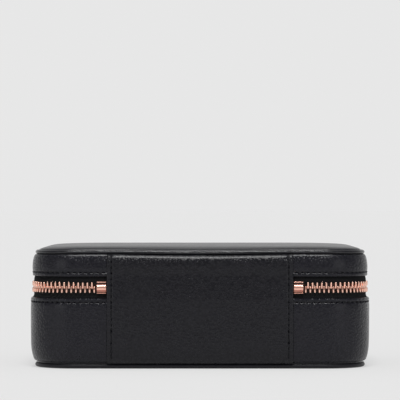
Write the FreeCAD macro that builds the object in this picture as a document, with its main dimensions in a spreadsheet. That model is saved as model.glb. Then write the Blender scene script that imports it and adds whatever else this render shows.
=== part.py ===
import FreeCAD, Part
import Sketcher
import math
import os
import re
from FreeCAD import Vector

# Zip-around leather jewellery case, in millimetres. +Z is up, the hinge is at the back (+Y) and the zip
# closes at the front (-Y). The origin is the middle of the underside.

DIMENSIONS = {
    # outside of the case
    "case_width": 190.0,
    "case_depth": 130.0,
    "corner_radius": 25.0,
    "base_height": 45.0,        # underside to the middle of the zip
    "lid_height": 21.4,         # middle of the zip to the seam of the lid's top leather
    "lid_inset": 0.95,          # the lid's sides stand in from the base's
    "base_round": 11.0,         # height over which the base's side turns in to its piping
    "lid_round": 6.0,
    "seam_inset": 2.5,          # how far in the side leather meets the piping
    "crown_rise": 2.2,          # the padded lid's middle above its seam
    "crown_run": 36.0,          # from that seam in to the flat of the crown
    "crown_tighten": 8.85,      # how much smaller the crown's corners get over that run
    # layers of the shell
    "leather": 1.2,
    "padding": 3.8,
    "board": 2.0,
    "lining": 0.8,
    "glue_gap": 0.05,
    "seam_gap": 0.1,
    "rim_gap": 0.4,             # between the lined rims of the lid and the base
    "piping_radius": 1.15,
    "piping_inset": 2.5,
    "piping_tail": 5.5,         # flat of the piping that is sewn into the seam
    "tail_thickness": 0.8,
    # hinge at the back
    "panel_width": 102.6,
    "panel_overlap": 8.0,       # the panel over each end of the side leather
    # zip
    "zip_gap": 12.0,            # between the leather edges of the lid and the base
    "tape": 0.6,
    "tape_reach": 10.5,         # middle of the zip to the tape's sewn edge
    "tape_edge": 2.8,           # middle of the zip to the tape's corded edge
    "tape_bend": 4.4,           # where the tape turns towards its leather
    "tape_tuck": 4.0,           # how far the base's tape runs in under the panel
    "chain_width": 6.1,
    "tooth_pitch": 2.54,
    "tooth_width": 0.95,
    "tooth_thickness": 2.6,
    "tooth_head": 2.0,
    "tooth_mesh": 0.7,          # a tooth's reach past the middle of the zip
    "tooth_slot": 0.8,
    "tooth_leg": 1.5,
    "tooth_shoulder": 0.5,
    "chain_parting": 1.2,       # lift of each row between the sliders
    "stop_gap": 0.6,
    "stop_length": 5.2,
    "stop_height": 7.4,
    "stop_front": 1.7,          # the stop's face in front of the chain's middle plane
    "stop_back": 1.3,
    "stop_groove": 0.45,
    "stop_rim": 1.0,
    # sliders and their pulls
    "slider_length": 11.0,
    "slider_space": 1.5,        # between the two sliders' heads
    "slider_head": 10.0,
    "slider_tail": 7.7,
    "slider_nose": 1.2,
    "slider_plate": 1.1,
    "slider_cavity": 3.2,
    "slider_slot": 1.6,
    "slider_flange": 0.65,
    "slider_wedge": 0.8,
    "wedge_length": 5.6,
    "bail_rise": 2.3,
    "bail_radius": 0.8,
    "bail_post": 1.4,
    "bail_opening": 5.0,
    "pull_clearance": 0.08,
    "pull_eye": 1.9,
    "pull_eye_width": 4.2,
    "pull_neck": 4.2,
    "pull_neck_length": 4.0,
    "pull_flare": 4.0,
    "pull_width": 7.2,
    "pull_length": 27.0,
    "pull_thickness": 1.6,
    "pull_recess": 0.35,
    "pull_border": 1.3,
    # lid's inside
    "mirror_width": 132.0,
    "mirror_depth": 78.0,
    "mirror_glass": 2.0,
    "mirror_corner": 6.0,
    "mirror_clearance": 0.1,
    "frame_border": 7.0,
    "frame_lip": 2.0,
    "frame_face": 0.8,
    # base's inside
    "divider": 3.0,
    "divider_height": 29.0,
    "divider_gap": 0.1,
    "ring_bay": 58.0,           # wall lining to the long divider
    "front_bay": 54.0,          # wall lining to the middle divider
    "corner_bay": 56.0,         # wall lining to the cross divider
    "roll_gap": 0.3,
    "roll_height": 23.0,
    "roll_wall_gap": 6.4,       # side wall's lining to the rolls' ends
    "roll_divider_gap": 5.6,    # rolls' other ends to the long divider
    "roll_end_gap": 4.85,       # front and back walls' lining to the first and the last roll
    "roll_pinch": 0.7,          # how much a roll draws in at each end
}
ROLL_COUNT = 6

# Distances in from the base's side leather, and heights, as formulas of the dimensions
BOARD_IN = "(leather + padding)"
LINING_IN = f"({BOARD_IN} + board)"
INSIDE_IN = f"({LINING_IN} + lining)"
TAPE_IN = "(leather + glue_gap)"
CHAIN_IN = f"({TAPE_IN} + tape / 2 + lid_inset / 2)"
PIPING_IN = "(piping_inset + piping_radius)"
TOP_LEATHER_IN = "(piping_inset + 2 * piping_radius + seam_gap)"
TAIL_IN = "(piping_inset + 2 * piping_radius + piping_tail)"

SEAM_DEPTH = "(leather + tail_thickness)"
PIPING_REACH = f"({SEAM_DEPTH} + piping_radius + seam_gap)"
FLOOR_TOP = f"({SEAM_DEPTH} + board)"
FLOOR_LINED = f"({FLOOR_TOP} + lining)"
BASE_RIM = "(base_height - rim_gap / 2)"
LID_RIM = "(base_height + rim_gap / 2)"
BASE_EDGE = "(base_height - zip_gap / 2)"
LID_EDGE = "(base_height + zip_gap / 2)"
LID_TOP = "(base_height + lid_height)"
CEILING_TOP = f"({LID_TOP} - {SEAM_DEPTH})"
CEILING = f"({CEILING_TOP} - board)"
CEILING_LINED = f"({CEILING} - lining)"

ROLL_WIDTH = (f"((case_depth - 2 * {INSIDE_IN} - 2 * roll_end_gap - {ROLL_COUNT - 1} * roll_gap)"
              f" / {ROLL_COUNT})")
ROLL_LENGTH = "(ring_bay - roll_wall_gap - roll_divider_gap)"

BAND_END = "(panel_width / 2 - panel_overlap)"
STOP_START = "(panel_width / 2 + stop_gap)"
STOP_END = f"({STOP_START} + stop_length)"

# The side leather of the base and of the lid: the edge at the zip, where it starts to turn in, where it ends
BASE_BAND = {
    "face": "0",
    "edge": BASE_EDGE,
    "turn": f"({PIPING_REACH} + base_round)",
    "rise": "base_round",
    "drop": "seam_inset",
    "up": "-1",
}
LID_BAND = {
    "face": "lid_inset",
    "edge": LID_EDGE,
    "turn": f"({LID_TOP} - {PIPING_REACH} - lid_round)",
    "rise": "lid_round",
    "drop": "(seam_inset - lid_inset)",
    "up": "1",
}

LEFT, RIGHT = 1, -1

doc = FreeCAD.newDocument("jewellery_case")
sheet = doc.addObject("Spreadsheet::Sheet", "dims")
for row, (alias, size) in enumerate(DIMENSIONS.items(), start=1):
    sheet.set(f"A{row}", str(size))
    sheet.setAlias(f"A{row}", alias)
doc.recompute()

sub_parts = []


def cells(formula):
    """The formula with the name of each dimension turned into its cell."""
    return re.sub(r"[a-z_]+", lambda word: f"dims.{word[0]}" if word[0] in DIMENSIONS else word[0], formula)


def number(formula):
    return float(sheet.evalExpression(cells(formula)))


def new_body(label):
    body = doc.addObject("PartDesign::Body", label)
    body.Label = label
    sub_parts.append(body)
    return body


def sketch_on(body, plane, offset="0"):
    """An empty sketch on one of the body's own origin planes, moved along that plane's normal."""
    sketch = body.newObject("Sketcher::SketchObject", f"{body.Name}_sketch")
    support = next(item for item in body.Origin.OriginFeatures if item.Role == plane)
    sketch.AttachmentSupport = [(support, "")]
    sketch.MapMode = "FlatFace"
    sketch.setExpression("AttachmentOffset.Base.z", cells(offset))
    return sketch


def bind(sketch, constraint, formula):
    index = sketch.addConstraint(constraint)
    sketch.setExpression(f"Constraints[{index}]", cells(formula))


def arc_between(start, end, radius, turn):
    """The arc under a half circle from start to end, turning left or right."""
    half = (end - start) * 0.5
    side = Vector(-half.y, half.x, 0).normalize() * turn
    centre = start + half + side * math.sqrt(max(radius ** 2 - half.Length ** 2, 0))
    first, last = (start, end) if turn == LEFT else (end, start)
    angles = [math.atan2(point.y - centre.y, point.x - centre.x) for point in (first, last)]
    return Part.ArcOfCircle(Part.Circle(centre, Vector(0, 0, 1), radius), *angles)


def trace(sketch, points, closed=True):
    """Lines and arcs through the points. A point is x, y or, at an arc's end, x, y, radius and turn."""
    places = [Vector(number(point[0]), number(point[1]), 0) for point in points]
    count = len(points) if closed else len(points) - 1
    ends = []
    for step in range(count):
        target = (step + 1) % len(points)
        start, end = places[step], places[target]
        if len(points[target]) == 2:
            edge = sketch.addGeometry(Part.LineSegment(start, end))
            ends.append((edge, 1, 2))
            continue
        radius, turn = points[target][2:]
        edge = sketch.addGeometry(arc_between(start, end, number(radius), turn))
        ends.append((edge, 1, 2) if turn == LEFT else (edge, 2, 1))
        bind(sketch, Sketcher.Constraint("Radius", edge, number(radius)), radius)
    for step, (edge, start, end) in enumerate(ends):
        if step + 1 < count or closed:
            follower, follower_start, _ = ends[(step + 1) % count]
            sketch.addConstraint(Sketcher.Constraint("Coincident", edge, end, follower, follower_start))
        pin(sketch, edge, start, points[step])
    if not closed:
        edge, _, end = ends[-1]
        pin(sketch, edge, end, points[-1])


def pin(sketch, edge, end, point):
    bind(sketch, Sketcher.Constraint("DistanceX", edge, end, number(point[0])), point[0])
    bind(sketch, Sketcher.Constraint("DistanceY", edge, end, number(point[1])), point[1])


def rounded_rectangle(half_width, half_depth, radius):
    straight_x = f"({half_width} - {radius})"
    straight_y = f"({half_depth} - {radius})"
    return [
        (f"-{straight_x}", f"-{half_depth}", radius, LEFT),
        (straight_x, f"-{half_depth}"),
        (half_width, f"-{straight_y}", radius, LEFT),
        (half_width, straight_y),
        (straight_x, half_depth, radius, LEFT),
        (f"-{straight_x}", half_depth),
        (f"-{half_width}", straight_y, radius, LEFT),
        (f"-{half_width}", f"-{straight_y}"),
    ]


def case_outline(inset):
    """The outline of the case, moved in from the base's side leather."""
    return rounded_rectangle(f"(case_width / 2 - {inset})", f"(case_depth / 2 - {inset})",
                             f"(corner_radius - {inset})")


def case_path(end):
    """The case's outline as a track round the front, from the left to the right of the back's middle."""
    outline = case_outline("0")
    from_back_left = [*outline[5:], *outline[:5]]
    return [(f"-{end}", "case_depth / 2"), *from_back_left, (end, "case_depth / 2")]


def rectangle(left, right, low, high):
    return [(left, low), (right, low), (right, high), (left, high)]


def feature(body, kind, **settings):
    item = body.newObject(f"PartDesign::{kind}", f"{body.Name}_{kind}")
    for name, setting in settings.items():
        if name == "Length":
            item.setExpression(name, cells(setting))
        else:
            setattr(item, name, setting)
    return item


def pad(body, plane, offset, length, *outlines, **settings):
    sketch = sketch_on(body, plane, offset)
    for outline in outlines:
        trace(sketch, outline)
    return feature(body, "Pad", Profile=sketch, Length=length, **settings)


def pocket(body, plane, offset, length, outline, **settings):
    sketch = sketch_on(body, plane, offset)
    trace(sketch, outline)
    return feature(body, "Pocket", Profile=sketch, Length=length, **settings)


def plate(label, low, high, outline, hole=None):
    body = new_body(label)
    outlines = [outline] if hole is None else [outline, hole]
    pad(body, "XY_Plane", low, f"{high} - {low}", *outlines)
    return body


def sweep(label, section, end):
    """A section at the back of the case, carried round the front to the other side of the back's middle."""
    body = new_body(label)
    path = sketch_on(body, "XY_Plane")
    trace(path, case_path(end), closed=False)
    profile = sketch_on(body, "YZ_Plane", f"-{end}")
    trace(profile, section)
    feature(body, "AdditivePipe", Profile=profile, Spine=(path, [f"Edge{step + 1}" for step in range(9)]))
    return body


def back(depth):
    """Distance in from the base's side leather, as a place along Y at the back."""
    return f"(case_depth / 2 - {depth})"


def band_radius(band):
    return f"(({band['rise']} ^ 2 + {band['drop']} ^ 2) / (2 * {band['drop']}))"


def band_end(band, depth):
    """Where the curve that runs depth inside the band's face ends at the piping."""
    radius = band_radius(band)
    share = f"({radius} - {depth}) / {radius}"
    centre_y = f"(case_depth / 2 - {band['face']} - {radius})"
    along_y = f"({centre_y} + {share} * ({radius} - {band['drop']}))"
    along_z = f"({band['turn']} + {band['up']} * {share} * {band['rise']})"
    return along_y, along_z


def band_section(band):
    """The side leather's section: upright from the zip, then turning in to the piping."""
    face, inside = band["face"], f"({band['face']} + leather)"
    radius = band_radius(band)
    outward, inward = (RIGHT, LEFT) if band["up"] == "-1" else (LEFT, RIGHT)
    return [
        (back(face), band["edge"]),
        (back(face), band["turn"]),
        (*band_end(band, "0"), radius, outward),
        band_end(band, "leather"),
        (back(inside), band["turn"], f"({radius} - leather)", inward),
        (back(inside), band["edge"]),
    ]


def piping_section(seam, up):
    """A round cord with a flat tail, which lies on the seam side of the cord's middle."""
    middle = back(PIPING_IN)
    near = f"({middle} - piping_radius)"
    far = f"({middle} + piping_radius)"
    tail_end = back(TAIL_IN)
    tail_face = f"({seam} + {up} * tail_thickness)"
    meet = f"({middle} - sqrt(piping_radius ^ 2 - tail_thickness ^ 2))"
    turn = LEFT if up == "1" else RIGHT
    return [
        (near, seam),
        (middle, f"({seam} - {up} * piping_radius)", "piping_radius", turn),
        (far, seam, "piping_radius", turn),
        (middle, f"({seam} + {up} * piping_radius)", "piping_radius", turn),
        (meet, tail_face, "piping_radius", turn),
        (tail_end, tail_face),
        (tail_end, seam),
    ]


def make_piping(label, seam, up):
    body = new_body(label)
    path = sketch_on(body, "XY_Plane")
    outline = case_outline("0")
    trace(path, [("0", "case_depth / 2"), *outline[5:], *outline[:5]])
    profile = sketch_on(body, "YZ_Plane")
    trace(profile, piping_section(seam, up))
    feature(body, "AdditivePipe", Profile=profile, Spine=(path, [f"Edge{step + 1}" for step in range(9)]))


def make_shell():
    """Bottom, floor, walls and side leather of the base."""
    plate("base_bottom_leather", "0", "leather", case_outline(TOP_LEATHER_IN))
    plate("base_bottom_padding", "leather", SEAM_DEPTH, case_outline(f"({TAIL_IN} + seam_gap)"))
    plate("base_floor_board", SEAM_DEPTH, FLOOR_TOP, case_outline(BOARD_IN))
    plate("base_floor_lining", FLOOR_TOP, FLOOR_LINED, case_outline(LINING_IN))
    plate("base_wall_board", FLOOR_TOP, f"({BASE_RIM} - lining)",
          case_outline(BOARD_IN), case_outline(LINING_IN))
    plate("base_wall_padding", f"({PIPING_REACH} + base_round / 2)", f"({BASE_EDGE} - seam_gap)",
          case_outline(f"({TAPE_IN} + tape)"), case_outline(BOARD_IN))
    lined = plate("base_wall_lining", FLOOR_LINED, BASE_RIM, case_outline(LINING_IN), case_outline(INSIDE_IN))
    pad(lined, "XY_Plane", f"{BASE_RIM} - lining", "lining", case_outline(BOARD_IN), case_outline(INSIDE_IN))
    sweep("base_side_leather", band_section(BASE_BAND), BAND_END)
    make_piping("base_piping", SEAM_DEPTH, "-1")


def crown_outline(step, slack):
    inset = f"({TOP_LEATHER_IN} + {slack} + {step} * crown_run)"
    radius = f"(corner_radius - {TOP_LEATHER_IN} - {slack} - {step} * crown_tighten)"
    return rounded_rectangle(f"(case_width / 2 - {inset})", f"(case_depth / 2 - {inset})", radius)


# Shares of the crown's run from the seam in, and of its rise there
CROWN_STEPS = [("0", "0"), ("0.17", "0.45"), ("0.55", "0.8"), ("1", "1")]


def crown_sections(body, seam, slack):
    """Sketches up the crown from its seam, each further in than the last, slack inside the top leather."""
    sections = []
    for step, share in CROWN_STEPS:
        sketch = sketch_on(body, "XY_Plane", f"{seam} + {share} * (crown_rise - {slack})")
        trace(sketch, crown_outline(step, slack))
        sections.append(sketch)
    return sections


def make_lid_shell():
    """Padded top, walls and side leather of the lid."""
    seam_under = f"({LID_TOP} - leather)"
    leather = plate("lid_top_leather", seam_under, LID_TOP, crown_outline("0", "0"))
    outer = crown_sections(leather, LID_TOP, "0")
    feature(leather, "AdditiveLoft", Profile=outer[0], Sections=outer[1:])
    inner = crown_sections(leather, seam_under, "seam_gap")
    feature(leather, "SubtractiveLoft", Profile=inner[0], Sections=inner[1:])
    padding = plate("lid_top_padding", CEILING_TOP, seam_under, case_outline(f"({TAIL_IN} + seam_gap)"))
    foam = crown_sections(padding, seam_under, "(2 * seam_gap)")
    feature(padding, "AdditiveLoft", Profile=foam[0], Sections=foam[1:])
    plate("lid_top_board", CEILING, CEILING_TOP, case_outline(BOARD_IN))
    plate("lid_top_lining", CEILING_LINED, CEILING, case_outline(LINING_IN))
    plate("lid_wall_board", f"({LID_RIM} + lining)", CEILING, case_outline(BOARD_IN), case_outline(LINING_IN))
    plate("lid_wall_padding", f"({LID_EDGE} + seam_gap)", LID_BAND["turn"],
          case_outline(f"({TAPE_IN} + lid_inset + tape)"), case_outline(BOARD_IN))
    lined = plate("lid_wall_lining", LID_RIM, CEILING_LINED, case_outline(LINING_IN), case_outline(INSIDE_IN))
    pad(lined, "XY_Plane", LID_RIM, "lining", case_outline(BOARD_IN), case_outline(INSIDE_IN))
    sweep("lid_side_leather", band_section(LID_BAND), BAND_END)
    make_piping("lid_piping", f"({LID_TOP} - {SEAM_DEPTH})", "1")


def make_hinge():
    """The leather panel over the back, its backing boards and the lining strip behind the fold."""
    base_end = band_end(BASE_BAND, "(-glue_gap)")
    base_far = band_end(BASE_BAND, "(-glue_gap - leather)")
    lid_end = band_end(LID_BAND, "(-glue_gap)")
    lid_far = band_end(LID_BAND, "(-glue_gap - leather)")
    base_radius, lid_radius = band_radius(BASE_BAND), band_radius(LID_BAND)
    inner_base, outer_base = back("(-glue_gap)"), back("(-glue_gap - leather)")
    inner_lid, outer_lid = back("(lid_inset - glue_gap)"), back("(lid_inset - glue_gap - leather)")
    section = [
        base_far,
        (outer_base, BASE_BAND["turn"], f"({base_radius} + glue_gap + leather)", LEFT),
        (outer_base, BASE_EDGE),
        (outer_lid, LID_EDGE),
        (outer_lid, LID_BAND["turn"]),
        (*lid_far, f"({lid_radius} + glue_gap + leather)", LEFT),
        lid_end,
        (inner_lid, LID_BAND["turn"], f"({lid_radius} + glue_gap)", RIGHT),
        (inner_lid, LID_EDGE),
        (inner_base, BASE_EDGE),
        (inner_base, BASE_BAND["turn"]),
        (*base_end, f"({base_radius} + glue_gap)", RIGHT),
    ]
    pad(new_body("hinge_panel"), "YZ_Plane", "0", "panel_width", section, Midplane=True)
    backing_width = f"2 * ({BAND_END} - seam_gap)"
    for label, band in (("base_hinge_backing", BASE_BAND), ("lid_hinge_backing", LID_BAND)):
        pad(new_body(label), "YZ_Plane", "0", backing_width, band_section(band), Midplane=True)
    strip = [
        (back("0"), f"({BASE_EDGE} + seam_gap)"),
        (back("lid_inset"), f"({LID_EDGE} - seam_gap)"),
        (back("(lid_inset + lining)"), f"({LID_EDGE} - seam_gap)"),
        (back("lining"), f"({BASE_EDGE} + seam_gap)"),
    ]
    pad(new_body("hinge_lining"), "YZ_Plane", "0", backing_width, strip, Midplane=True)


def tape_section(face, up):
    """The tape: sewn behind its leather, then bent to the plane of the chain."""
    near, far = f"({face} + {TAPE_IN})", f"({face} + {TAPE_IN} + tape)"
    chain_near, chain_far = f"({CHAIN_IN} - tape / 2)", f"({CHAIN_IN} + tape / 2)"
    sewn, edge, bend, free = (f"(base_height + {up} * {reach})" for reach in
                              ("tape_reach", "zip_gap / 2", "tape_bend", "tape_edge"))
    return [(back(near), sewn), (back(near), edge), (back(chain_near), bend), (back(chain_near), free),
            (back(chain_far), free), (back(chain_far), bend), (back(far), edge), (back(far), sewn)]


def tooth(up):
    """One tooth about the middle of the chain, forked over its tape: X along the chain, Y outwards."""
    half, head, slot = (number(f"{name} / 2") for name in ("tooth_thickness", "tooth_head", "tooth_slot"))
    outer, fork = number("chain_width / 2"), number("tooth_leg")
    shoulder, tip, width = number("tooth_shoulder"), number("tooth_mesh"), number("tooth_width")
    side = [(half, outer), (slot, outer), (slot, fork), (-slot, fork), (-slot, outer), (-half, outer),
            (-half, shoulder), (-head, -tip), (head, -tip), (half, shoulder)]
    corners = [Vector(-width / 2, across, up * height) for across, height in side]
    return Part.Face(Part.makePolygon([*corners, corners[0]])).extrude(Vector(width, 0, 0))


def chain_place(travel):
    """The place at a distance along the chain from the middle of the front, and the turn about Z there."""
    way = math.copysign(1, travel)
    left = abs(travel)
    radius = number(f"corner_radius - {CHAIN_IN}")
    front = number("case_width / 2 - corner_radius")
    side = number("case_depth - 2 * corner_radius")
    corner = math.pi / 2 * radius
    centre_y = side / 2
    if left <= front:
        return Vector(travel, -centre_y - radius, 0), 0
    left -= front
    if left <= corner:
        turn = left / radius
        along_x = way * (front + radius * math.sin(turn))
        return Vector(along_x, -centre_y - radius * math.cos(turn), 0), way * turn
    left -= corner
    if left <= side:
        return Vector(way * (front + radius), left - centre_y, 0), way * math.pi / 2
    left -= side
    if left <= corner:
        turn = left / radius
        along_x = way * (front + radius * math.cos(turn))
        return Vector(along_x, centre_y + radius * math.sin(turn), 0), way * (math.pi / 2 + turn)
    return Vector(way * (front - left + corner), centre_y + radius, 0), math.pi


def parting(travel):
    """How far a slider lifts its row at this distance from the middle of the front."""
    tail = number("slider_space / 2 + slider_length")
    ramp = number("slider_length / 2")
    return number("chain_parting") * min(max((tail - abs(travel)) / ramp, 0), 1)


def make_teeth(side, up):
    """One row of teeth in three stretches: along the front, and round each side to its end stop."""
    pitch = number("tooth_pitch")
    front = number("case_width / 2 - corner_radius")
    radius = number(f"corner_radius - {CHAIN_IN}")
    half_length = front + math.pi * radius + number("case_depth - 2 * corner_radius")
    half_length += front - number(f"{STOP_END} + stop_gap + tooth_width / 2")
    shape = tooth(up)
    start = pitch / 2 if up == 1 else 0
    stretches = {"front": [], "left": [], "right": []}
    count = math.floor((half_length - start) / pitch)
    for step in range(-count - 1, count + 1):
        travel = start + step * pitch
        if abs(travel) > half_length:
            continue
        place, turn = chain_place(travel)
        place.z = number("base_height") + up * parting(travel)
        copy = shape.copy()
        copy.Placement = FreeCAD.Placement(place, FreeCAD.Rotation(Vector(0, 0, 1), math.degrees(turn)))
        stretch = "front" if abs(travel) <= front else "left" if travel < 0 else "right"
        stretches[stretch].append(copy)
    for stretch, copies in stretches.items():
        label = f"{side}_teeth_{stretch}"
        row_part = doc.addObject("Part::Feature", label)
        row_part.Label = label
        row_part.Shape = Part.makeCompound(copies)
        sub_parts.append(row_part)


def make_stop(label, start):
    """The box that holds the zip's two tapes together at one end, with two grooves across its face."""
    face = back(f"({CHAIN_IN} - stop_front)")
    groove = back(f"({CHAIN_IN} - stop_front + stop_groove)")
    rear = back(f"({CHAIN_IN} + stop_back)")
    slot_near, slot_far = back(f"({CHAIN_IN} - tooth_slot / 2)"), back(f"({CHAIN_IN} + tooth_slot / 2)")
    top, slot_end = "stop_height / 2", "(tape_edge - stop_gap)"
    rim, groove_end = "(stop_height / 2 - stop_rim)", "(stop_rim / 2 + stop_groove)"
    upper = [(rear, top), (slot_far, top), (slot_far, slot_end), (slot_near, slot_end), (slot_near, top),
             (face, top), (face, rim), (groove, f"({rim} - stop_groove)"), (groove, groove_end),
             (face, "stop_rim / 2")]
    section = [(depth, f"(base_height + {height})") for depth, height in upper]
    section += [(depth, f"(base_height - {height})") for depth, height in reversed(upper)]
    pad(new_body(label), "YZ_Plane", start, "stop_length", section)


def make_zip():
    sweep("base_zip_tape", tape_section("0", "-1"), "(panel_width / 2 - tape_tuck)")
    sweep("lid_zip_tape", tape_section("lid_inset", "1"), f"({STOP_END} + stop_gap)")
    make_teeth("base", -1)
    make_teeth("lid", 1)
    make_stop("zip_stop_left", f"-{STOP_END}")
    make_stop("zip_stop_right", STOP_START)


def front(depth):
    """Distance in from the base's side leather, as an offset of the upright plane that faces the front."""
    return f"(case_depth / 2 - {depth})"


def slider_outline(place, way):
    """A slider's plate: broad at its head, which faces the other slider, narrower at its tail."""
    head, tail = f"({place} - {way} * slider_length / 2)", f"({place} + {way} * slider_length / 2)"
    cheek = f"({place} - {way} * (slider_length / 2 - slider_nose))"
    upper = [(head, "(slider_head / 2 - slider_nose)"), (cheek, "slider_head / 2"),
             (place, "slider_head / 2"), (tail, "slider_tail / 2")]
    lower = [(along, f"-{height}") for along, height in reversed(upper)]
    return [(along, f"(base_height + {height})") for along, height in upper + lower]


def flange_outline(place, way, up):
    tail = f"({place} + {way} * slider_length / 2)"
    cheek = f"({place} - {way} * (slider_length / 2 - slider_nose))"
    outer = [(cheek, "slider_head / 2"), (place, "slider_head / 2"), (tail, "slider_tail / 2")]
    inner = [(along, f"({height} - slider_flange)") for along, height in reversed(outer)]
    return [(along, f"(base_height + {up} * {height})") for along, height in outer + inner]


def make_slider(label, way):
    """Two plates joined by a wedge, flanged over the teeth, with a bail for the pull on the front plate."""
    place = f"({way} * (slider_space + slider_length) / 2)"
    body = new_body(label)
    cavity_rear = f"({CHAIN_IN} + slider_cavity / 2)"
    cavity_face = f"({CHAIN_IN} - slider_cavity / 2)"
    flange_depth = "(slider_cavity - slider_slot) / 2"
    head = f"({place} - {way} * slider_length / 2)"
    wedge = [(head, "(base_height + slider_wedge / 2)"), (head, "(base_height - slider_wedge / 2)"),
             (f"({head} + {way} * wedge_length / 2)", "(base_height - slider_wedge / 2)"),
             (f"({head} + {way} * wedge_length)", "base_height"),
             (f"({head} + {way} * wedge_length / 2)", "(base_height + slider_wedge / 2)")]
    flanges = [flange_outline(place, way, "1"), flange_outline(place, way, "-1")]
    outline = slider_outline(place, way)
    pad(body, "XZ_Plane", front(f"({cavity_rear} + slider_plate)"), "slider_plate", outline)
    pad(body, "XZ_Plane", front(cavity_rear), flange_depth, *flanges)
    pad(body, "XZ_Plane", front(cavity_rear), "slider_cavity", wedge)
    pad(body, "XZ_Plane", front(cavity_face), "slider_plate", outline)
    pad(body, "XZ_Plane", front(f"({CHAIN_IN} - slider_slot / 2)"), flange_depth, *flanges)
    plate_face = f"({cavity_face} - slider_plate)"
    posts = [rectangle(f"({place} + {side} * bail_opening / 2)",
                       f"({place} + {side} * (bail_opening / 2 + bail_post))",
                       "(base_height - bail_radius)", "(base_height + bail_radius)") for side in ("-1", "1")]
    pad(body, "XZ_Plane", front(plate_face), "bail_rise", *posts)
    bar_start = f"({place} - bail_opening / 2 - bail_post)"
    bar = sketch_on(body, "YZ_Plane", bar_start)
    circle(bar, f"-{front(plate_face)} - bail_rise", "base_height", "bail_radius")
    feature(body, "Pad", Profile=bar, Length="bail_opening + 2 * bail_post")


def circle(sketch, along, up, radius):
    centre = Vector(number(along), number(up), 0)
    edge = sketch.addGeometry(Part.Circle(centre, Vector(0, 0, 1), number(radius)))
    bind(sketch, Sketcher.Constraint("Radius", edge, number(radius)), radius)
    pin(sketch, edge, 3, (along, up))


def pull_outline(place, border):
    """A pull's tab: a narrow neck at the eye, a flare and a round end."""
    half = f"(pull_width / 2 - {border})"
    neck = f"(pull_neck / 2 - {border})"
    top = f"(base_height - {border} * pull_eye / pull_border)"
    flare_top = "(base_height - pull_neck_length)"
    flare_end = "(base_height - pull_neck_length - pull_flare)"
    round_top = "(base_height - pull_length + pull_width / 2)"
    tip = f"(base_height - pull_length + {border})"
    return [
        (f"({place} + {neck})", top),
        (f"({place} - {neck})", top),
        (f"({place} - {neck})", flare_top),
        (f"({place} - {half})", flare_end),
        (f"({place} - {half})", round_top),
        (place, tip, half, LEFT),
        (f"({place} + {half})", round_top, half, LEFT),
        (f"({place} + {half})", flare_end),
        (f"({place} + {neck})", flare_top),
    ]


def make_pull(label, way):
    """An eye that turns on the slider's bail, and the flat tab that hangs from it."""
    place = f"({way} * (slider_space + slider_length) / 2)"
    body = new_body(label)
    axis_in = f"({CHAIN_IN} - slider_cavity / 2 - slider_plate - bail_rise)"
    axis_y = f"-{front(axis_in)}"
    eye = sketch_on(body, "YZ_Plane", f"{place} - pull_eye_width / 2")
    circle(eye, axis_y, "base_height", "pull_eye")
    feature(body, "Pad", Profile=eye, Length="pull_eye_width")
    pad(body, "XZ_Plane", front(f"({axis_in} + pull_thickness / 2)"), "pull_thickness",
        pull_outline(place, "0"))
    pocket(body, "XZ_Plane", front(f"({axis_in} - pull_thickness / 2)"), "pull_recess",
           pull_outline(place, "pull_border"))
    bore = sketch_on(body, "YZ_Plane", f"{place} - pull_width")
    circle(bore, axis_y, "base_height", "(bail_radius + pull_clearance)")
    feature(body, "Pocket", Profile=bore, Length="2 * pull_width", Reversed=True)


def make_mirror():
    """Mirror glass under the lid's lining, and the frame whose lip holds it."""
    glass, outside, recess, window = (
        rounded_rectangle(f"(mirror_width / 2 + {margin})", f"(mirror_depth / 2 + {margin})",
                          f"(mirror_corner + {margin})")
        for margin in ("0", "frame_border", "mirror_clearance", "(-frame_lip)"))
    plate("mirror", f"({CEILING_LINED} - mirror_glass)", CEILING_LINED, glass)
    face = f"({CEILING_LINED} - mirror_glass - mirror_clearance)"
    frame = plate("mirror_frame", face, CEILING_LINED, outside, recess)
    pad(frame, "XY_Plane", f"{face} - frame_face", "frame_face", outside, window)


def divider_section(place):
    """A board on the floor lining, with a round top."""
    left, right = f"({place} - divider / 2)", f"({place} + divider / 2)"
    shoulder = f"({FLOOR_LINED} + divider_height - divider / 2)"
    top = f"({FLOOR_LINED} + divider_height)"
    return [(left, FLOOR_LINED), (right, FLOOR_LINED), (right, shoulder),
            (place, top, "divider / 2", LEFT), (left, shoulder, "divider / 2", LEFT)]


def make_dividers():
    inside_x, inside_y = f"(case_width / 2 - {INSIDE_IN})", f"(case_depth / 2 - {INSIDE_IN})"
    long_x = f"(ring_bay + divider / 2 - {inside_x})"
    middle_y = f"(front_bay + divider / 2 - {inside_y})"
    cross_x = f"({inside_x} - corner_bay - divider / 2)"
    pad(new_body("long_divider"), "XZ_Plane", "0", f"2 * ({inside_y} - divider_gap)",
        divider_section(long_x), Midplane=True)
    middle_start = f"({long_x} + divider / 2 + divider_gap)"
    pad(new_body("middle_divider"), "YZ_Plane", middle_start, f"{inside_x} - divider_gap - {middle_start}",
        divider_section(middle_y))
    cross_start = f"({inside_y} - front_bay + divider_gap)"
    pad(new_body("cross_divider"), "XZ_Plane", cross_start, f"{inside_y} - divider_gap - {cross_start}",
        divider_section(cross_x))


def roll_section(place, pinch):
    half = f"({ROLL_WIDTH} / 2 - {pinch})"
    shoulder = f"({FLOOR_LINED} + roll_height - {ROLL_WIDTH} / 2)"
    left, right = f"({place} - {half})", f"({place} + {half})"
    return [(left, FLOOR_LINED), (right, FLOOR_LINED), (right, shoulder),
            (place, f"({shoulder} + {half})", half, LEFT), (left, shoulder, half, LEFT)]


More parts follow.
